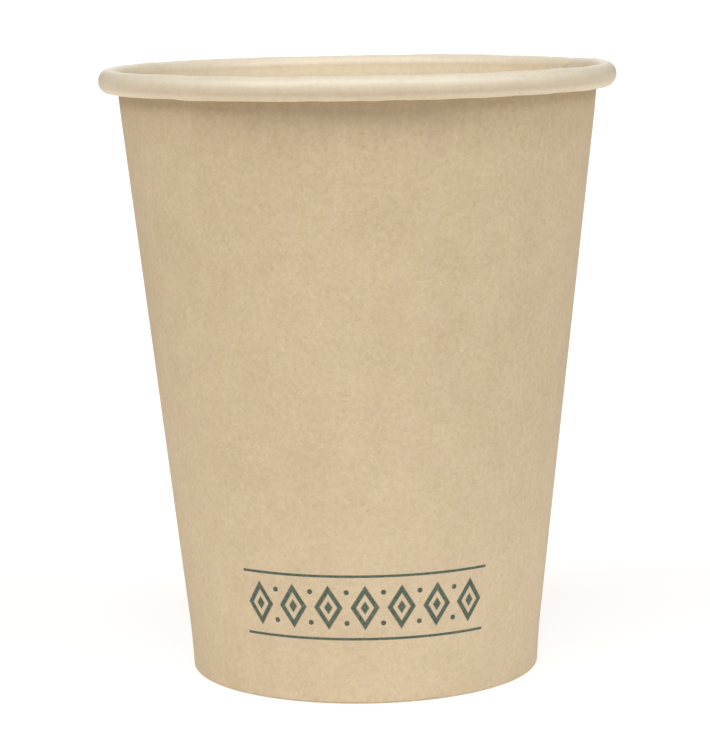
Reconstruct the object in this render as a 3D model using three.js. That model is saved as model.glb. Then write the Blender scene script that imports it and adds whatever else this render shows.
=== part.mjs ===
// Single-wall paper cup for hot drinks, 90 mm rim, about 360 ml.
// Two board blanks make it: a fan-shaped sidewall, lapped on itself, rolled into the rim and
// hemmed at the base, and a round bottom with a skirt turned down. Each blank carries a barrier
// film on its drink side, and where that film is melted between two layers it is the seal.
// Millimetres, +Z up. The origin is the centre of the ring that the cup stands on, -Y is the front,
// and the side seam is just behind the right-hand side.
import * as THREE from "three";

// ---- driving dimensions ----
const HEIGHT = 106.3; // base ring to the top of the rim
const RIM_R = 45.0; // outside of the rolled rim: the common 90 mm lid size
const CURL_B = 2.025; // half the height of the rolled rim
const CURL_TAIL = -122; // degrees round the curl where the board's edge ends
const BOARD = 0.35; // board thickness, about 300 g/m2
const FILM = 0.03; // barrier film thickness
const GAP = 0.02; // bond line between two layers
const BASE_R = 30.66; // outside of the wall just above the base fold
const BAND_R = 31.0; // outside of the wall at the top of the hem band
const BAND_Z = 6.2;
const CONE_R = 31.26; // outside of the wall where the plain cone starts
const CONE_Z = 8.6;
const TAPER = 0.1105; // wall radius gained for each mm of height
const HEM_TOP = 6.8; // upper edge of the folded hem
const FOLD_BEVEL = 0.13; // corners of the base fold
const FLOOR_Z = 8.0; // drink side of the bottom
const FLOOR_BEND = 0.9; // bend from the bottom to its skirt
const SKIRT_Z = 1.0; // lower edge of the skirt
const SIDES = 60; // facets in one turn
const LAP_STEPS = 2; // facets in the side seam's overlap
const SEAM_AT = 3; // facets from +X towards +Y to the middle of the side seam
const RAMP_STEPS = 1; // facets over which the outer flap lifts onto the inner one
const CURL_STEPS = 10;

// ---- derived ----
const STEP = (2 * Math.PI) / SIDES;
const TURN = SIDES; // one whole turn, in steps
const LAP_END = SIDES + LAP_STEPS;
const SEAM_START = (SEAM_AT + LAP_STEPS / 2) * STEP; // where the inner flap begins
const LINED = FILM + GAP; // from the film's face to the board's lined face
const LAYER = LINED + BOARD; // from the film's face to the board's plain face
const LIFT = LAYER + GAP; // how far the outer flap sits off the inner one
const STACK = GAP + FILM + GAP + BOARD + GAP; // the bottom's skirt, between wall and hem

const wallOut = (z) =>
  z <= BAND_Z
    ? BASE_R + ((BAND_R - BASE_R) * (z - 0.53)) / (BAND_Z - 0.53)
    : z <= CONE_Z
      ? BAND_R + ((CONE_R - BAND_R) * (z - BAND_Z)) / (CONE_Z - BAND_Z)
      : CONE_R + TAPER * (z - CONE_Z);
const wallIn = (z) => wallOut(z) - LAYER; // the lining's face
const hemFace = (z) => wallIn(z) - STACK;
const BAND_SLOPE = (BAND_R - BASE_R) / (BAND_Z - 0.53);

// The curl is an ellipse that the wall runs into tangentially: its half width follows from that.
const curlZ = HEIGHT - CURL_B;
let curlA = 1.8;
let tangent = 0;
for (let k = 0; k < 60; k++) {
  tangent = Math.PI - Math.atan((TAPER * CURL_B) / curlA);
  const r = wallIn(curlZ + CURL_B * Math.sin(tangent));
  curlA = (RIM_R - r) / (1 - Math.cos(tangent));
}
const curlR = RIM_R - curlA;

// The sidewall's lined face as a path in (radius, height): curl, wall, base fold, hem.
const path = [];
const tail = THREE.MathUtils.degToRad(CURL_TAIL);
for (let k = 0; k <= CURL_STEPS; k++) {
  const a = tail + ((tangent - tail) * k) / CURL_STEPS;
  path.push(new THREE.Vector2(curlR + curlA * Math.cos(a), curlZ + CURL_B * Math.sin(a)));
}
for (const z of [CONE_Z, BAND_Z]) path.push(new THREE.Vector2(wallIn(z), z));
const FOLD_FIRST = path.length; // first point of the base fold
const foldTop = LAYER + FOLD_BEVEL;
path.push(new THREE.Vector2(wallIn(foldTop), foldTop));
path.push(new THREE.Vector2(wallIn(foldTop) - FOLD_BEVEL, LAYER));
path.push(new THREE.Vector2(hemFace(foldTop) + FOLD_BEVEL, LAYER));
path.push(new THREE.Vector2(hemFace(foldTop), foldTop));
const FOLD_LAST = path.length - 1;
for (const z of [BAND_Z, HEM_TOP]) path.push(new THREE.Vector2(hemFace(z), z));
const PATH_END = path.length - 1;

// Mitred normals of a path, on its left-hand side, so that offset layers keep their thickness.
function normals(points) {
  const side = (a, b) => {
    const d = b.clone().sub(a).normalize();
    return new THREE.Vector2(-d.y, d.x);
  };
  return points.map((p, i) => {
    const before = i > 0 ? side(points[i - 1], p) : null;
    const after = i < points.length - 1 ? side(p, points[i + 1]) : null;
    if (!before) return after;
    if (!after) return before;
    const sum = before.clone().add(after);
    return sum.multiplyScalar(2 / sum.lengthSq());
  });
}
const pathNormals = normals(path);

// How far the blank lies off its plain place, at a step along it. The last steps climb onto the
// first ones, and at the base the first ones make room, so that the ring below stays flat.
const rise = (k) => LIFT * THREE.MathUtils.clamp((k - (TURN - RAMP_STEPS)) / RAMP_STEPS, 0, 1);
const room = (k) =>
  k <= LAP_STEPS + RAMP_STEPS
    ? LIFT * THREE.MathUtils.clamp((LAP_STEPS + RAMP_STEPS - k) / RAMP_STEPS, 0, 1)
    : rise(k);

// One layer of the sidewall blank: the path's points first..last, from depth d0 to d1 under the
// lined face, extruded flat along the blank and then wrapped round the cup.
function wrapped(first, last, d0, d1, stops) {
  const at = (i, d) => path[i].clone().addScaledVector(pathNormals[i], d);
  const section = [];
  for (let i = first; i <= last; i++) section.push({ i, d: d0, p: at(i, d0) });
  for (let i = last; i >= first; i--) section.push({ i, d: d1, p: at(i, d1) });
  const geometry = new THREE.ExtrudeGeometry(new THREE.Shape(section.map((s) => s.p)), {
    depth: stops.length - 1,
    steps: stops.length - 1,
    bevelEnabled: false,
  });
  const pos = geometry.attributes.position;
  const depth = [];
  for (let v = 0; v < pos.count; v++) {
    const here = new THREE.Vector2(pos.getX(v), pos.getY(v));
    const s = section.reduce((a, b) => (b.p.distanceToSquared(here) < a.p.distanceToSquared(here) ? b : a));
    const k = stops[Math.round(pos.getZ(v))];
    depth.push(s.d);
    const q = at(s.i, s.d + rise(k));
    if (s.i >= FOLD_FIRST && s.i <= FOLD_LAST) q.add(new THREE.Vector2(BAND_SLOPE, 1).multiplyScalar(room(k)));
    const angle = SEAM_START - k * STEP;
    pos.setXYZ(v, q.x * Math.cos(angle), q.x * Math.sin(angle), q.y);
  }
  // Where the flap climbs, a quad is twisted. Both faces of a layer are split along the same
  // diagonal there, so that the layers stay clear of each other.
  const corner = (v) => new THREE.Vector3().fromBufferAttribute(pos, v);
  for (let v = geometry.groups[1].start; v < pos.count; v += 6) {
    if (depth[v] !== d1 || depth[v + 1] !== d1) continue;
    const [a, b, c, d] = [corner(v), corner(v + 1), corner(v + 4), corner(v + 5)];
    [a, b, c, a, c, d].forEach((q, n) => pos.setXYZ(v + n, q.x, q.y, q.z));
  }
  geometry.deleteAttribute("normal");
  geometry.deleteAttribute("uv");
  geometry.computeVertexNormals();
  return geometry;
}
const range = (a, b) => Array.from({ length: b - a + 1 }, (_, k) => a + k);

// One layer of the bottom blank: flat floor, bend and skirt, turned about the axis.
const floorPath = [new THREE.Vector2(0, FLOOR_Z)];
const skirt = (z) => wallIn(z) - GAP;
const bendZ = FLOOR_Z - FLOOR_BEND;
for (let k = 0; k <= 3; k++) {
  const a = (Math.PI / 2) * (1 - k / 3);
  floorPath.push(
    new THREE.Vector2(skirt(bendZ) - FLOOR_BEND + FLOOR_BEND * Math.cos(a), bendZ + FLOOR_BEND * Math.sin(a)),
  );
}
for (const z of [BAND_Z, SKIRT_Z]) floorPath.push(new THREE.Vector2(skirt(z), z));
const floorNormals = normals(floorPath).map((n) => n.multiplyScalar(-1));
function turned(d0, d1) {
  const at = (d) =>
    floorPath.map((p, i) => {
      const q = p.clone().addScaledVector(floorNormals[i], d);
      if (i === 0) q.x = 0;
      return q;
    });
  const profile = [...at(d0), ...at(d1).reverse()].reverse();
  const geometry = new THREE.LatheGeometry(profile, SIDES);
  geometry.rotateX(Math.PI / 2); // the lathe turns about Y
  geometry.rotateZ(Math.PI / 2); // facets in line with the wall's
  return geometry;
}

// ---- the pieces ----
const kraft = () => new THREE.MeshStandardMaterial({ color: 0xd2bc97, roughness: 0.85, metalness: 0 });
const lined = () => new THREE.MeshStandardMaterial({ color: 0xe6d9bd, roughness: 0.5, metalness: 0 });
const sealed = () => new THREE.MeshStandardMaterial({ color: 0xd9caab, roughness: 0.55, metalness: 0 });

const cup = new THREE.Group();
cup.name = "paper_cup";
function piece(name, geometry, material) {
  const mesh = new THREE.Mesh(geometry, material);
  mesh.name = name;
  cup.add(mesh);
  return mesh;
}

piece("sidewall", wrapped(0, PATH_END, LINED, LAYER, range(0, LAP_END)), kraft());
piece("sidewall_lining", wrapped(0, FOLD_FIRST, 0, FILM, range(0, TURN)), lined());
piece("side_seam_seal", wrapped(0, FOLD_FIRST, 0, FILM, [TURN + 0.01, ...range(TURN + 1, LAP_END)]), sealed());
piece("bottom_disc", turned(LINED, LAYER), kraft());
piece("bottom_lining", turned(0, FILM), lined());
piece("bottom_seam_seal", wrapped(FOLD_LAST, PATH_END, 0, FILM, range(0, LAP_END)), sealed());

export default cup;
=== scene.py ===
import math

import bpy
import numpy as np
from mathutils import Matrix, Vector


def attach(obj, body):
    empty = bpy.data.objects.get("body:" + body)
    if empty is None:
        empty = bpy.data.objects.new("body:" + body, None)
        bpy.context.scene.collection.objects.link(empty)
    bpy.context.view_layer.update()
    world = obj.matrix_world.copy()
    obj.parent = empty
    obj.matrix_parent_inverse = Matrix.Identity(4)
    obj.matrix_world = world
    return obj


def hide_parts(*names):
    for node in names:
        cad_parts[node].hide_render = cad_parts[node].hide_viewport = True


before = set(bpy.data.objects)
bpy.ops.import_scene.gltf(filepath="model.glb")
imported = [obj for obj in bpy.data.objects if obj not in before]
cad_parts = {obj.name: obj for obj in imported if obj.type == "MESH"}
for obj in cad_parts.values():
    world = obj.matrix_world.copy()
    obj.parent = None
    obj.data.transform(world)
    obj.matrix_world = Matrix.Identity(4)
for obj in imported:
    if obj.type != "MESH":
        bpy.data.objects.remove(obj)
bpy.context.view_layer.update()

MM = 0.001
scene = bpy.context.scene

# ------------------------------------------------------------------ camera
# The photograph's viewpoint: half a metre off, a little above the rim, looking slightly down.
CAM_D, CAM_H = 0.49816, 0.12682
PITCH, ROLL, YAW = 0.15091, -0.015234, -0.00236
fw = Vector((math.sin(YAW) * math.cos(PITCH), math.cos(YAW) * math.cos(PITCH), -math.sin(PITCH)))
right = Vector((math.cos(YAW), -math.sin(YAW), 0.0))
up = right.cross(fw)
r2 = right * math.cos(ROLL) + up * math.sin(ROLL)
u2 = up * math.cos(ROLL) - right * math.sin(ROLL)
cam_data = bpy.data.cameras.new("camera")
cam_data.sensor_width = 36.0
cam_data.lens = 36.0 * 2851.278 / 756.0
cam_data.clip_start, cam_data.clip_end = 0.01, 60.0
cam = bpy.data.objects.new("camera", cam_data)
scene.collection.objects.link(cam)
m = Matrix.Identity(4)
for i, v in enumerate((r2, u2, -fw, Vector((0.0, -CAM_D, CAM_H)))):
    m[0][i], m[1][i], m[2][i] = v
cam.matrix_world = m
scene.camera = cam

# ------------------------------------------------------------------ the cup's form, in mm
HEIGHT, RIM_R, CURL_B = 106.3, 45.0, 2.025
BOARD, FILM, GAP = 0.35, 0.03, 0.02
LINED = FILM + GAP
LAYER = LINED + BOARD
LIFT = LAYER + GAP
STACK = GAP + FILM + GAP + BOARD + GAP
TAPER = 0.1105
HEM_TOP, FLOOR_Z, FLOOR_BEND, SKIRT_Z = 6.8, 8.0, 0.9, 1.0
FOLD_R = 0.15  # corners of the base fold on its lined side
LAP = math.radians(12.0)
RAMP = math.radians(6.0)
SEAM_START = math.radians(24.0)  # the side seam is just behind the right-hand side
SEAM_MID = SEAM_START - LAP / 2
BAND_SLOPE = 0.06


def wall_out(z):
    """Outside radius of the wall: a nearly straight band at the hem runs smoothly into the cone."""
    z = np.asarray(z, float)
    return 30.63 + BAND_SLOPE * z + (TAPER - BAND_SLOPE) * np.logaddexp(0.0, z - 6.34)


def wall_in(z):
    return wall_out(z) - LAYER


def hem_face(z):
    return wall_in(z) - STACK


curl_z = HEIGHT - CURL_B
curl_a = 1.8
for _ in range(60):
    tangent = math.pi - math.atan(TAPER * CURL_B / curl_a)
    curl_a = (RIM_R - float(wall_in(curl_z + CURL_B * math.sin(tangent)))) / (1 - math.cos(tangent))
curl_r = RIM_R - curl_a


def sidewall_path():
    """The lined face of the sidewall in (radius, height), from the curl's edge over the rim, down the wall, round the fold and up the hem."""
    pts, part = [], []

    def add(r, z, kind):
        pts.append((float(r), float(z)))
        part.append(kind)

    tail = math.radians(-122)
    for a in np.linspace(tail, tangent, 50):
        add(curl_r + curl_a * math.cos(a), curl_z + CURL_B * math.sin(a), "curl")
    top = pts[-1][1]
    for z in np.linspace(top, 14.0, 44)[1:]:
        add(wall_in(z), z, "wall")
    bottom = LAYER + FOLD_R
    for z in np.linspace(14.0, bottom, 22)[1:]:
        add(wall_in(z), z, "wall")
    ro, rh = float(wall_in(bottom)), float(hem_face(bottom))
    for a in np.linspace(0, -90, 7)[1:]:
        add(ro - FOLD_R + FOLD_R * math.cos(math.radians(a)), bottom + FOLD_R * math.sin(math.radians(a)), "fold")
    for a in np.linspace(-90, -180, 7):
        add(rh + FOLD_R + FOLD_R * math.cos(math.radians(a)), bottom + FOLD_R * math.sin(math.radians(a)), "fold")
    for z in np.linspace(bottom, HEM_TOP, 12)[1:]:
        add(hem_face(z), z, "hem")
    return np.array(pts), np.array(part)


def left_normals(p):
    seg = np.diff(p, axis=0)
    seg /= np.linalg.norm(seg, axis=1, keepdims=True)
    n = np.stack([-seg[:, 1], seg[:, 0]], 1)
    full = np.empty_like(p)
    full[0], full[-1] = n[0], n[-1]
    s = n[:-1] + n[1:]
    full[1:-1] = s * (2 / (s**2).sum(1, keepdims=True))
    return full


PATH, PART = sidewall_path()
NORM = left_normals(PATH)
I_WALL_END = int(np.where(PART == "wall")[0][-1])
I_HEM = int(np.where(PART == "fold")[0][-1])
I_END = len(PATH) - 1

rng = np.random.default_rng(7)


def waves(orders, size):
    """A smooth function round the cup, the same on every turn, made of a few harmonics with fixed phases."""
    amp = rng.normal(size=len(orders))
    amp *= size / np.sqrt((amp**2).sum() / 2)
    ph = rng.uniform(0, 2 * math.pi, len(orders))
    return lambda a: sum(k * np.cos(n * a + q) for k, n, q in zip(amp, orders, ph))


rim_low, rim_mid, rim_fine = waves(range(2, 8), 0.035), waves(range(9, 24), 0.022), waves(range(30, 80, 3), 0.010)
rim_under = waves(range(5, 40, 2), 0.018)
rim_roll = [(rng.normal() * 0.007, int(rng.integers(14, 70)), int(rng.integers(-2, 4)), rng.uniform(0, 2 * math.pi)) for _ in range(14)]
NICK = math.radians(-87.2)  # a small nick in the curl's lower edge, at the front
wall_low = [waves(range(2, 7), 0.020) for _ in range(4)]


def smoothstep(x):
    x = np.clip(x, 0, 1)
    return x * x * (3 - 2 * x)


def rise(u):
    return LIFT * smoothstep((u - (2 * math.pi - RAMP)) / (RAMP * 0.92))


def room(u):
    first = LIFT * (1 - smoothstep((u - LAP) / RAMP))
    return np.where(u < LAP + RAMP, first, rise(u))


RIBS = 90


def sheet_points(idx, depth, u, ribs=False):
    """Points of one layer of the sidewall blank, for path points idx and angles u along the blank, at a depth under its lined face."""
    U = u[None, :]
    ang = SEAM_START - U
    R0, Z0 = PATH[idx, 0][:, None], PATH[idx, 1][:, None]
    NR, NZ = NORM[idx, 0][:, None], NORM[idx, 1][:, None]
    part = PART[idx]
    # in the rolled rim the lap is pressed to little more than one thickness
    press = np.where(part == "curl", 1 - smoothstep((NORM[idx, 0] - 0.90) / 0.09) * np.where(NORM[idx, 0] > 0, 1.0, 0.0), 0.0)[:, None]
    d = (depth + rise(U)) * (1 - 0.46 * press * room(U) / LIFT)
    if ribs:  # the rolled hem is pressed into fine upright ribs
        win = np.where(part == "hem", smoothstep((PATH[idx, 1] - 1.4) / 0.8) * smoothstep((6.5 - PATH[idx, 1]) / 0.7), 0.0)
        d = d - 0.085 * win[:, None] * (0.5 + 0.5 * np.cos(RIBS * ang))
    r, z = R0 + d * NR, Z0 + d * NZ
    # room for the second layer in the base fold
    low = np.where(part == "fold", 1.0, np.where(np.isin(part, ["wall", "hem"]), np.clip(1 - (PATH[idx, 1] - LAYER - FOLD_R) / 3.0, 0, 1), 0.0))[:, None]
    r = r + BAND_SLOPE * room(U) * low
    z = z + room(U) * low
    # hand of the forming: the rim is never quite even, and the wall is not perfectly round
    on_rim = smoothstep((Z0 - 98.0) / 5.0)
    lift = rim_low(ang) + rim_mid(ang) + rim_fine(ang)
    z = z + on_rim * (lift - 0.15)
    r = r + on_rim * (0.5 * (rim_mid(ang + 1.0) + rim_fine(ang + 2.0)) - 0.09)
    roll = np.arctan2(Z0 - curl_z, R0 - curl_r)
    swell = sum(k * np.cos(n * ang + q * roll + c) for k, n, q, c in rim_roll) * np.where(part == "curl", 1.0, 0.0)[:, None]
    r, z = r + swell * NR, z + swell * NZ
    under = smoothstep((curl_z - Z0) / 1.5) * np.where(part == "curl", 1.0, 0.0)[:, None]
    nick = np.exp(-(((ang - NICK + math.pi) % (2 * math.pi) - math.pi) * RIM_R / 1.1) ** 2)
    z = z + under * (rim_under(ang) * 0.9 + 0.03 - 0.10 * nick)
    t = np.clip((Z0 - 8.0) / 90.0, 0, 1)
    bell = np.sin(math.pi * t)
    r = r + bell * (wall_low[0](ang) * np.cos(2.2 * t) + wall_low[1](ang) * np.sin(3.1 * t)) * 0.8
    return np.stack([r * np.cos(ang), r * np.sin(ang), z + 0 * U], -1) * MM


def grid_faces(ni, nu, base, flip):
    i, j = np.meshgrid(np.arange(ni - 1), np.arange(nu - 1), indexing="ij")
    a = base + i * nu + j
    q = np.stack([a, a + nu, a + nu + 1, a + 1], -1).reshape(-1, 4)
    return q[:, ::-1] if flip else q


def make_mesh(name, verts, faces, mats, slots, uv=None):
    me = bpy.data.meshes.new(name)
    me.from_pydata(verts.tolist(), [], faces.tolist())
    me.update()
    for mat in mats:
        me.materials.append(mat)
    me.polygons.foreach_set("material_index", np.asarray(slots, np.int32))
    me.shade_smooth()
    me.set_sharp_from_angle(angle=math.radians(38))
    if uv is not None:
        layer = me.uv_layers.new(name="OFBake")
        layer.data.foreach_set("uv", uv.astype(np.float32).ravel())
    me.update()
    ob = bpy.data.objects.new(name, me)
    scene.collection.objects.link(ob)
    return ob


def sheet_uv(idx, u, show):
    """The blank laid flat for its maps: the face that shows fills most of the square, the other face and the four edges lie in strips beside it."""
    step = np.linalg.norm(np.diff(PATH[idx], axis=0), axis=1)
    kind = PART[idx][1:]
    worth = step * np.where(kind == "curl", 1.4 if show == "lined" else 0.15, np.where(kind == "hem", 0.7, 1.0))
    s = np.concatenate([[0], np.cumsum(worth)]) / worth.sum()
    w = (u - u[0]) / (u[-1] - u[0])
    big, small = (0.0, 0.915), (0.928, 0.962)
    lined, plain = (big, small) if show == "lined" else (small, big)

    def place(i, j, band):
        return np.stack([0.002 + 0.996 * w[j], band[0] + (band[1] - band[0]) * s[i]], -1)

    i, j = (a.ravel() for a in np.meshgrid(np.arange(len(idx) - 1), np.arange(len(u) - 1), indexing="ij"))
    quad = lambda band: np.stack([place(i, j, band), place(i + 1, j, band), place(i + 1, j + 1, band), place(i, j + 1, band)], 1)
    parts = [quad(lined), quad(plain)[:, ::-1]]

    def strip(t, lo, turned):
        a, b = 0.002 + 0.996 * t[:-1], 0.002 + 0.996 * t[1:]
        if turned:
            a, b = b, a
        at = lambda x, v: np.stack([x, np.full_like(x, v)], -1)
        return np.stack([at(a, lo), at(b, lo), at(b, lo + 0.006), at(a, lo + 0.006)], 1)

    parts += [strip(w, 0.966, False), strip(w, 0.975, True), strip(s, 0.984, True), strip(s, 0.993, False)]
    return np.concatenate(parts)


def sheet(name, first, last, d0, d1, u, mats, slot_lined, slot_plain, slot_edge, ribs=False, show="lined"):
    """A closed sheet: lined face at depth d0, plain face at d1, and its four cut edges."""
    idx = np.arange(first, last + 1)
    ni, nu = len(idx), len(u)
    A, B = sheet_points(idx, d0, u), sheet_points(idx, d1, u, ribs)
    verts = np.concatenate([A.reshape(-1, 3), B.reshape(-1, 3)])
    n = ni * nu
    fa, fb = grid_faces(ni, nu, 0, False), grid_faces(ni, nu, n, True)
    k = np.arange(nu - 1)
    e0 = np.stack([k, k + 1, n + k + 1, n + k], 1)
    b = (ni - 1) * nu
    e1 = np.stack([b + k + 1, b + k, n + b + k, n + b + k + 1], 1)
    k = np.arange(ni - 1) * nu
    e2 = np.stack([k + nu, k, n + k, n + k + nu], 1)
    c = nu - 1
    e3 = np.stack([c + k, c + k + nu, n + c + k + nu, n + c + k], 1)
    faces = np.concatenate([fa, fb, e0, e1, e2, e3])
    slots = np.concatenate([np.full(len(fa), slot_lined), np.full(len(fb), slot_plain), np.full(len(e0) + len(e1) + len(e2) + len(e3), slot_edge)])
    return make_mesh(name, verts, faces, mats, slots, sheet_uv(idx, u, show))


def turned(name, d0, d1, mats, slot_lined, slot_plain, slot_edge, segs=360):
    """One layer of the bottom blank: floor, bend and skirt."""
    skirt = lambda z: wall_in(z) - GAP
    bend = FLOOR_Z - FLOOR_BEND
    flat = float(skirt(bend)) - FLOOR_BEND
    p = [(x, FLOOR_Z) for x in np.linspace(0.4, flat, 34)]
    for a in np.linspace(90, 0, 12)[1:]:
        p.append((flat + FLOOR_BEND * math.cos(math.radians(a)), bend + FLOOR_BEND * math.sin(math.radians(a))))
    for z in np.linspace(bend, SKIRT_Z, 12)[1:]:
        p.append((float(skirt(z)), z))
    p = np.array(p)
    nrm = -left_normals(p)
    ang = np.linspace(0, 2 * math.pi, segs, endpoint=False)[None, :]
    sag = smoothstep((flat - p[:, 0]) / 12.0)[:, None]

    def face(d):
        q = p + d * nrm
        r, z = q[:, 0][:, None] + 0 * ang, q[:, 1][:, None] + 0 * ang
        x, y = r * np.cos(ang), r * np.sin(ang)
        # the floor is not dead flat: a shallow dish with a soft crosswise roll
        z = z - sag * (0.10 + 0.06 * np.cos(x / 9.0 + 0.7) + 0.05 * np.sin(y / 11.0 - 0.4) + 0.03 * np.cos((x + y) / 5.0))
        return np.stack([x, y, z], -1) * MM

    A, B = face(d0), face(d1)
    ni, nu = A.shape[:2]
    ca, cb = A[0].mean(0), B[0].mean(0)
    verts = np.concatenate([A.reshape(-1, 3), B.reshape(-1, 3), [ca, cb]])
    n = ni * nu
    i, j = np.meshgrid(np.arange(ni - 1), np.arange(nu), indexing="ij")
    jn = (j + 1) % nu
    fa = np.stack([i * nu + j, (i + 1) * nu + j, (i + 1) * nu + jn, i * nu + jn], -1).reshape(-1, 4)
    fb = fa[:, ::-1] + n
    k = np.arange(nu)
    kn = (k + 1) % nu
    b = (ni - 1) * nu
    e = np.stack([b + k, n + b + k, n + b + kn, b + kn], 1)
    faces = np.concatenate([fa, fb, e]).tolist()
    faces += [[2 * n, int(x), int(y)] for x, y in zip(k, kn)] + [[2 * n + 1, int(n + y), int(n + x)] for x, y in zip(k, kn)]
    slots = [slot_lined] * len(fa) + [slot_plain] * len(fb) + [slot_edge] * len(e) + [slot_lined] * nu + [slot_plain] * nu
    me = bpy.data.meshes.new(name)
    me.from_pydata(verts.tolist(), [], faces)
    for mat in mats:
        me.materials.append(mat)
    me.polygons.foreach_set("material_index", np.asarray(slots, np.int32))
    me.shade_smooth()
    me.set_sharp_from_angle(angle=math.radians(38))
    me.update()
    ob = bpy.data.objects.new(name, me)
    scene.collection.objects.link(ob)
    return ob


# ------------------------------------------------------------------ materials
class Nodes:
    """Short-hand for building a shader tree."""

    def __init__(self, name):
        self.mat = bpy.data.materials.new(name)
        self.mat.use_nodes = True
        self.nt = self.mat.node_tree
        self.nt.nodes.clear()

    def new(self, kind, **values):
        n = self.nt.nodes.new(kind)
        for k, v in values.items():
            setattr(n, k, v)
        return n

    def put(self, socket, value):
        if isinstance(value, bpy.types.NodeSocket):
            self.nt.links.new(value, socket)
        elif value is not None:
            socket.default_value = value

    def math(self, op, a, b=None, c=None, clamp=False):
        n = self.new("ShaderNodeMath", operation=op, use_clamp=clamp)
        for s, v in zip(n.inputs, (a, b, c)):
            self.put(s, v)
        return n.outputs[0]

    def mix(self, fac, a, b, blend="MIX"):
        n = self.new("ShaderNodeMix", data_type="RGBA", blend_type=blend)
        n.clamp_factor = True
        self.put(n.inputs["Factor"], fac)
        self.put(n.inputs[6], a)
        self.put(n.inputs[7], b)
        return n.outputs[2]

    def noise(self, vec, scale, detail=2.0, rough=0.5, distortion=0.0, dims="3D"):
        n = self.new("ShaderNodeTexNoise", noise_dimensions=dims)
        self.put(n.inputs["Vector"], vec)
        n.inputs["Scale"].default_value = scale
        n.inputs["Detail"].default_value = detail
        n.inputs["Roughness"].default_value = rough
        n.inputs["Distortion"].default_value = distortion
        return n.outputs["Fac"]

    def ramp(self, x, lo, hi, to_lo=0.0, to_hi=1.0, smooth=True):
        n = self.new("ShaderNodeMapRange", interpolation_type="SMOOTHSTEP" if smooth else "LINEAR")
        self.put(n.inputs["Value"], x)
        for s, v in zip(("From Min", "From Max", "To Min", "To Max"), (lo, hi, to_lo, to_hi)):
            n.inputs[s].default_value = v
        return n.outputs["Result"]

    def combine(self, x, y, z=0.0):
        n = self.new("ShaderNodeCombineXYZ")
        for s, v in zip(n.inputs, (x, y, z)):
            self.put(s, v)
        return n.outputs[0]

    def object_mm(self):
        """Object coordinates in mm, as a vector and as x, y, z."""
        tc = self.new("ShaderNodeTexCoord")
        sc = self.new("ShaderNodeVectorMath", operation="SCALE")
        self.nt.links.new(tc.outputs["Object"], sc.inputs[0])
        sc.inputs["Scale"].default_value = 1000.0
        sep = self.new("ShaderNodeSeparateXYZ")
        self.nt.links.new(sc.outputs[0], sep.inputs[0])
        return sc.outputs[0], sep.outputs[0], sep.outputs[1], sep.outputs[2]

    def flecks(self, vec, angle, shift, along=6.0, across=0.8):
        """Sparse short dashes lying about one way: narrow cells, a few of them filled at the middle."""
        v = self.rotated(vec, angle, 1 / along, 1 / across)
        move = self.new("ShaderNodeVectorMath", operation="ADD")
        self.put(move.inputs[0], v)
        move.inputs[1].default_value = (shift, 1.7 * shift, 0.0)
        vo = self.new("ShaderNodeTexVoronoi", feature="F1", voronoi_dimensions="2D")
        self.put(vo.inputs["Vector"], move.outputs[0])
        vo.inputs["Scale"].default_value = 1.0
        pick = self.new("ShaderNodeSeparateColor")
        self.nt.links.new(vo.outputs["Color"], pick.inputs[0])
        size = self.math("MULTIPLY_ADD", pick.outputs[1], 0.07, 0.05)
        body = self.ramp(self.math("SUBTRACT", vo.outputs["Distance"], size), -0.05, 0.02, 1.0, 0.0)
        return self.math("MULTIPLY", body, self.ramp(pick.outputs[0], 0.60, 0.95))

    def rotated(self, vec, angle, sx, sy):
        """A flat pattern's coordinates turned by an angle and scaled along each axis."""
        n = self.new("ShaderNodeMapping", vector_type="POINT")
        self.put(n.inputs["Vector"], vec)
        n.inputs["Rotation"].default_value = (0, 0, angle)
        s = self.new("ShaderNodeVectorMath", operation="MULTIPLY")
        self.nt.links.new(n.outputs[0], s.inputs[0])
        s.inputs[1].default_value = (sx, sy, 1.0)
        return s.outputs[0]


def srgb(r, g, b, gain=1.0):
    f = lambda c: (c / 255 / 12.92 if c / 255 <= 0.04045 else ((c / 255 + 0.055) / 1.055) ** 2.4) * gain
    return (f(r), f(g), f(b), 1.0)


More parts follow.
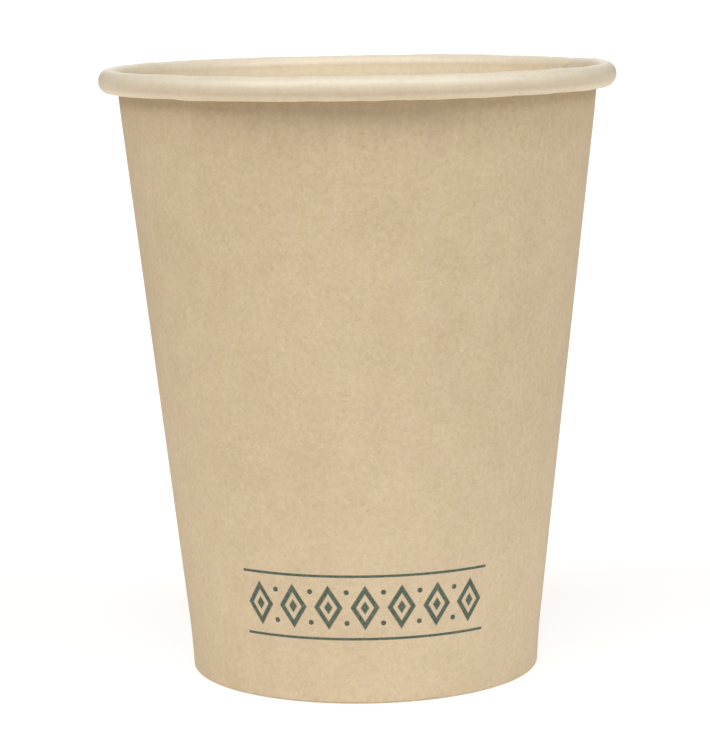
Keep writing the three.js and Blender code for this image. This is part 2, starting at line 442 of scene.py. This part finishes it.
def board_material(name, base, rough, spec, coat=0.0, coat_rough=0.3, contrast=1.0, fibre=1.0, bump=1.0, print_and_roll_shade=False, flat=False, inner=None, painted_foot_light=0.0, sheen=0.0):
    """Unbleached board: cloudy formation, fine fibres lying every way, a few dark specks."""
    t = Nodes(name)
    co, x, y, z = t.object_mm()
    if flat:
        sheet_co = t.combine(x, y, 0.0)
    else:  # along the blank and up it, with the break at the side seam
        ang = t.math("ARCTAN2", x, t.math("MULTIPLY", y, -1.0))
        along = t.math("MULTIPLY_ADD", x, -math.cos(SEAM_MID), t.math("MULTIPLY", y, -math.sin(SEAM_MID)))
        across = t.math("MULTIPLY_ADD", x, math.sin(SEAM_MID), t.math("MULTIPLY", y, -math.cos(SEAM_MID)))
        sheet_co = t.combine(t.math("MULTIPLY", t.math("ARCTAN2", across, along), 37.0), z, 0.0)
    cloud = t.noise(co, 0.030, 2.0, 0.5)
    floc = t.noise(co, 0.17, 3.0, 0.55)
    fine = t.noise(co, 1.1, 2.5, 0.6)
    grain = t.noise(co, 3.2, 2.0, 0.6)
    # one tone from dark to pale, about 0.5
    tone = t.math("ADD", t.math("MULTIPLY", t.math("SUBTRACT", cloud, 0.5), 0.34 * contrast), 0.5)
    for n, k in ((floc, 0.44), (fine, 0.80), (grain, 0.55)):
        tone = t.math("MULTIPLY_ADD", t.math("SUBTRACT", n, 0.5), k * contrast, tone)
    # painted light: the wall is made paler towards the foot, standing in for the floor's bounce light; the paling is
    # lessened over the lowest 18 mm
    if painted_foot_light:
        tone = t.math("ADD", tone, t.math("SUBTRACT", t.ramp(z, 0.0, 80.0, painted_foot_light, 0.0), t.ramp(z, 0.0, 18.0, 0.45 * painted_foot_light, 0.0)))
    shade = lambda c, k: tuple(min(1.0, a * b) for a, b in zip(c[:3], k)) + (1.0,)
    col = t.mix(tone, shade(base, (0.80, 0.775, 0.73)), shade(base, (1.20, 1.225, 1.27)))
    if inner:  # the inside is given a paler tone than the roll: partly the lining's own colour, partly painted light standing in for the light that comes through the thin board into the cup
        radius = t.math("SQRT", t.math("MULTIPLY_ADD", x, x, t.math("MULTIPLY", y, y)))
        deep = t.mix(tone, shade(inner, (0.80, 0.775, 0.73)), shade(inner, (1.20, 1.225, 1.27)))
        # painted highlight and painted shade: paler and whiter along the top of the roll, browner on its lower flank
        top = t.ramp(z, 103.9, 105.2)
        band = t.math("MULTIPLY", t.math("SUBTRACT", 1.0, top), t.ramp(z, 102.8, 103.5))
        col = t.mix(1.0, col, t.mix(top, (1.0, 1.0, 1.0, 1.0), (1.0, 1.04, 1.10, 1.0)), "MULTIPLY")
        col = t.mix(band, col, t.mix(1.0, col, (0.95, 0.92, 0.87, 1.0), "MULTIPLY"))
        # painted light: the lowest edge of the roll is made paler, standing in for the floor's light reflected up onto
        # it
        painted_lip_light = t.math("MULTIPLY", t.ramp(z, 102.3, 103.5, 1.0, 0.0), t.ramp(radius, 42.8, 43.6))
        within = t.math("MULTIPLY", t.ramp(radius, 42.3, 43.6, 1.0, 0.0), t.ramp(z, 103.6, 105.9, 1.0, 0.15))
        col = t.mix(t.math("ADD", within, painted_lip_light), col, deep)
    # fibres: stretched noise at several angles, cut to its crests
    heights = []
    for k, (a, warp) in enumerate(((0.25, 0.7), (1.15, 0.9), (2.05, 0.8), (2.75, 0.7))):
        v = t.rotated(sheet_co, a, 0.55, 5.2)
        shift = t.new("ShaderNodeVectorMath", operation="ADD")
        t.put(shift.inputs[0], v)
        shift.inputs[1].default_value = (13.1 * k, 7.7 * k, 3.0 * k)
        heights.append(t.noise(shift.outputs[0], 1.0, 1.5, 0.5, warp))
    pale_f = t.math("MAXIMUM", t.ramp(heights[0], 0.62, 0.74), t.ramp(heights[1], 0.63, 0.75))
    dark_f = t.math("MAXIMUM", t.ramp(heights[2], 0.64, 0.76), t.ramp(heights[3], 0.65, 0.77))
    if not flat:  # drawn fine and upright where the rim was rolled
        s = t.new("ShaderNodeVectorMath", operation="MULTIPLY")
        t.put(s.inputs[0], sheet_co)
        s.inputs[1].default_value = (0.55, 0.045, 1.0)
        drawn = t.math("MULTIPLY", t.math("SUBTRACT", t.noise(s.outputs[0], 1.0, 3.0, 0.6), 0.5), t.ramp(z, 84.0, 100.0))
        col = t.mix(t.math("MULTIPLY_ADD", drawn, (0.15 if inner else 0.55) * contrast, 0.12), col, shade(base, (0.80, 0.77, 0.72)))
    col = t.mix(t.math("MULTIPLY", pale_f, 0.22 * fibre), col, tuple(min(1.0, c * k) for c, k in zip(base[:3], (1.22, 1.26, 1.34))) + (1.0,))
    col = t.mix(t.math("MULTIPLY", dark_f, 0.26 * fibre), col, tuple(c * k for c, k in zip(base[:3], (0.72, 0.68, 0.60))) + (1.0,))
    # short stray fibres, dark and pale
    bend = t.new("ShaderNodeTexNoise")
    t.put(bend.inputs["Vector"], co)
    bend.inputs["Scale"].default_value = 0.5
    curl = t.new("ShaderNodeVectorMath", operation="MULTIPLY_ADD")
    t.nt.links.new(bend.outputs["Color"], curl.inputs[0])
    curl.inputs[1].default_value = (2.4, 2.4, 0.0)
    t.put(curl.inputs[2], sheet_co)
    strays = {}
    for kind, layers in (("dark", ((0.35, 3.0), (1.45, 17.0), (2.50, 41.0))), ("light", ((0.95, 63.0), (2.10, 85.0)))):
        for angle, shift in layers:
            one = t.flecks(curl.outputs[0], angle, shift)
            strays[kind] = t.math("MAXIMUM", strays[kind], one) if kind in strays else one
    col = t.mix(t.math("MULTIPLY", strays["dark"], 0.28 * fibre), col, shade(base, (0.60, 0.54, 0.45)))
    col = t.mix(t.math("MULTIPLY", strays["light"], 0.27 * fibre), col, shade(base, (1.38, 1.44, 1.55)))
    # patches a shade yellower or pinker
    hue = t.ramp(t.noise(co, 0.21, 4.0, 0.62, 0.6), 0.36, 0.64)
    col = t.mix(1.0, col, t.mix(hue, (1.0, 1.004, 0.984, 1.0), (1.0, 0.996, 1.016, 1.0)), "MULTIPLY")
    if print_and_roll_shade:
        # painted shade: the wall just under the roll is darkened and warmed, deepening the shadow that the roll casts
        col = t.mix(t.ramp(z, 91.0, 97.5, 0.0, 0.25), col, t.mix(1.0, col, (0.85, 0.79, 0.76, 1.0), "MULTIPLY"))
        col = ornament(t, col, ang, z, fine, grain)
    p = t.new("ShaderNodeBsdfPrincipled")
    t.put(p.inputs["Base Color"], col)
    t.put(p.inputs["Roughness"], t.math("MULTIPLY_ADD", t.math("SUBTRACT", fine, 0.5), 0.25, rough))
    p.inputs["Specular IOR Level"].default_value = spec
    if sheen:
        p.inputs["Sheen Weight"].default_value = sheen
        p.inputs["Sheen Roughness"].default_value = 0.45
    if coat:
        p.inputs["Coat Weight"].default_value = coat
        p.inputs["Coat Roughness"].default_value = coat_rough
    h = t.math("MULTIPLY", floc, 0.9)
    h = t.math("MULTIPLY_ADD", fine, 0.8, h)
    h = t.math("MULTIPLY_ADD", grain, 0.35, h)
    h = t.math("MULTIPLY_ADD", pale_f, 0.18, h)
    h = t.math("MULTIPLY_ADD", dark_f, 0.14, h)
    if not flat:
        h = t.math("MULTIPLY_ADD", drawn, 0.6 if inner else 2.2, h)
    bp = t.new("ShaderNodeBump")
    bp.inputs["Strength"].default_value = 0.6 * bump
    bp.inputs["Distance"].default_value = 0.00006
    t.put(bp.inputs["Height"], h)
    t.nt.links.new(bp.outputs[0], p.inputs["Normal"])
    out = t.new("ShaderNodeOutputMaterial")
    t.nt.links.new(p.outputs[0], out.inputs[0])
    return t.mat


def ornament(t, col, ang, z, fine, grain):
    """A plain lozenge frieze in grey-green ink, low on the front: two rules with a row of lozenges and dots between."""
    u = t.math("MULTIPLY", ang, 32.2)
    v = t.math("SUBTRACT", z, 17.0)
    au, av = t.math("ABSOLUTE", u), t.math("ABSOLUTE", v)
    pitch = 6.2
    edge = 0.05
    cell = t.math("SUBTRACT", t.math("FLOORED_MODULO", t.math("ADD", u, pitch / 2), pitch), pitch / 2)
    ac = t.math("ABSOLUTE", cell)
    dia = t.math("ADD", t.math("DIVIDE", ac, 2.45), t.math("DIVIDE", av, 3.9))
    outer = t.ramp(dia, 1.0 - edge, 1.0 + edge, 1.0, 0.0)
    hole = t.ramp(dia, 0.62 - edge, 0.62 + edge, 1.0, 0.0)
    core = t.ramp(dia, 0.30 - edge, 0.30 + edge, 1.0, 0.0)
    loz = t.math("ADD", t.math("SUBTRACT", outer, hole), core)
    inside = t.ramp(au, 3.5 * pitch - 0.05, 3.5 * pitch + 0.05, 1.0, 0.0)
    loz = t.math("MULTIPLY", loz, inside)
    # dots between the lozenges, above and below
    half = t.math("SUBTRACT", pitch / 2, ac)
    dv = t.math("SUBTRACT", av, 2.7)
    dist = t.math("SQRT", t.math("ADD", t.math("MULTIPLY", half, half), t.math("MULTIPLY", dv, dv)))
    dot = t.math("MULTIPLY", t.ramp(dist, 0.40, 0.50, 1.0, 0.0), t.ramp(au, 3.0 * pitch + 0.6, 3.0 * pitch + 0.7, 1.0, 0.0))
    rule = t.math("MULTIPLY", t.ramp(t.math("ABSOLUTE", t.math("SUBTRACT", av, 5.5)), 0.20, 0.26, 1.0, 0.0), t.ramp(au, 3.5 * pitch, 3.5 * pitch + 0.06, 1.0, 0.0))
    ink = t.math("MAXIMUM", t.math("MAXIMUM", loz, dot), rule)
    cover = t.math("MULTIPLY_ADD", t.math("SUBTRACT", grain, 0.5), 0.5, 0.93)
    cover = t.math("MULTIPLY_ADD", t.math("SUBTRACT", fine, 0.5), 0.25, cover, clamp=True)
    return t.mix(t.math("MULTIPLY", ink, cover), col, srgb(66, 83, 71))


KRAFT = srgb(191.4, 171.8, 140.2)
RIM = srgb(199.4, 184.4, 157.6)
# the lining's tone: partly its own colour, partly painted light that makes the inside of the cup paler
INNER = srgb(226.5, 208.8, 176.0)
EDGE = srgb(222, 204, 174)
kraft_print = board_material("kraft_board_printed", KRAFT, 0.82, 0.16, print_and_roll_shade=True, painted_foot_light=0.27)
kraft_flat = board_material("kraft_board_bottom", KRAFT, 0.82, 0.16, flat=True)
cut_edge = board_material("board_cut_edge", EDGE, 0.9, 0.2, fibre=1.4)
lined = board_material("lined_board", RIM, 0.55, 0.40, coat=0.38, coat_rough=0.42, contrast=0.6, fibre=0.5, bump=0.5, inner=INNER)
lined_flat = board_material("lined_board_bottom", INNER, 0.55, 0.40, coat=0.38, coat_rough=0.42, contrast=0.6, fibre=0.5, bump=0.5, flat=True)
melted = board_material("melted_film", INNER, 0.45, 0.45, contrast=0.8, fibre=0.3, bump=0.6)

# ------------------------------------------------------------------ pieces
TURN = 2 * math.pi
u_full = np.radians(np.concatenate([np.arange(0, 360), np.arange(360, 372.5, 1.0)]))
u_turn = np.radians(np.arange(0, 361.0))
u_lap = np.radians(np.concatenate([[360.06], np.arange(361, 372.5, 1.0)]))

sidewall = sheet("cup_sidewall", 0, I_END, LINED, LAYER, u_full, [kraft_print, cut_edge], 0, 0, 1, ribs=True, show="plain")
lining = sheet("cup_lining", 0, I_WALL_END, 0.0, FILM, u_turn, [lined], 0, 0, 0)
seam = sheet("cup_side_seal", 0, I_WALL_END, 0.0, FILM, u_lap, [melted], 0, 0, 0)
hem_seal = sheet("cup_bottom_seal", I_HEM, I_END, 0.0, FILM, u_full, [melted], 0, 0, 0)
bottom = turned("cup_bottom", LINED, LAYER, [kraft_flat, cut_edge], 0, 0, 1)
bottom_film = turned("cup_bottom_lining", 0.0, FILM, [lined_flat], 0, 0, 0)
for piece, node, slot in (
    (sidewall, "sidewall", "kraft_board"),
    (lining, "sidewall_lining", "barrier_film"),
    (seam, "side_seam_seal", "melted_film"),
    (hem_seal, "bottom_seam_seal", "melted_film"),
    (bottom, "bottom_disc", "kraft_board"),
    (bottom_film, "bottom_lining", "barrier_film"),
):
    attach(piece, "root")
    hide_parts(node)

# ------------------------------------------------------------------ stage and light
scene.view_settings.view_transform = "Standard"
scene.view_settings.look = "None"
scene.view_settings.exposure = 0.0
scene.view_settings.gamma = 1.0

floor_me = bpy.data.meshes.new("floor")
S = 14.0
floor_me.from_pydata([(-S, -S, 0), (S, -S, 0), (S, S, 0), (-S, S, 0)], [], [(0, 1, 2, 3)])
ft = Nodes("floor_white")
fp = ft.new("ShaderNodeBsdfPrincipled")
fp.inputs["Base Color"].default_value = (0.306, 0.291, 0.277, 1.0)
fp.inputs["Emission Color"].default_value = (1.0, 0.975, 0.955, 1.0)
fp.inputs["Emission Strength"].default_value = 0.735
fp.inputs["Roughness"].default_value = 0.9
fp.inputs["Specular IOR Level"].default_value = 0.1
fo = ft.new("ShaderNodeOutputMaterial")
ft.nt.links.new(fp.outputs[0], fo.inputs[0])
floor_me.materials.append(ft.mat)
floor = bpy.data.objects.new("floor", floor_me)
floor.location = (0, 0, -0.00002)
scene.collection.objects.link(floor)

# name: azimuth from the camera's side (right is +), elevation, angular size, strength, colour
WORLD = 0.12
SUNS = {
    "key": (0, 63, 28, 1.31, (1.0, 1.0, 1.0)),
    "left": (-50, 43, 30, 1.91, (0.985, 1.0, 1.05)),
    "right": (54, 43, 30, 1.46, (0.955, 1.0, 1.11)),
    "low_right": (82, 15, 40, 0.38, (0.97, 1.0, 1.06)),
    "back": (180, 50, 70, 0.20, (1.0, 1.0, 1.0)),
    "backdrop": (180, 14, 30, 0.28, (1.0, 0.99, 0.97)),
}


def soft_sun(name, az, el, size, strength, colour):
    """A broad soft light, even over the whole floor."""
    if strength <= 0:
        return
    d = bpy.data.lights.new(name, "SUN")
    d.angle = math.radians(size)
    d.energy, d.color = strength, colour
    o = bpy.data.objects.new(name, d)
    a, e = math.radians(az), math.radians(el)
    v = Vector((math.sin(a) * math.cos(e), -math.cos(a) * math.cos(e), math.sin(e)))
    o.location = v * 2.0
    o.rotation_mode = "QUATERNION"
    o.rotation_quaternion = (-v).to_track_quat("-Z", "Y")
    scene.collection.objects.link(o)


world = bpy.data.worlds.new("studio")
scene.world = world
world.use_nodes = True
bg = world.node_tree.nodes.get("Background") or world.node_tree.nodes.new("ShaderNodeBackground")
bg.inputs["Color"].default_value = (1.0, 1.0, 1.0, 1.0)
bg.inputs["Strength"].default_value = WORLD
for light, values in SUNS.items():
    soft_sun("light_" + light, *values)
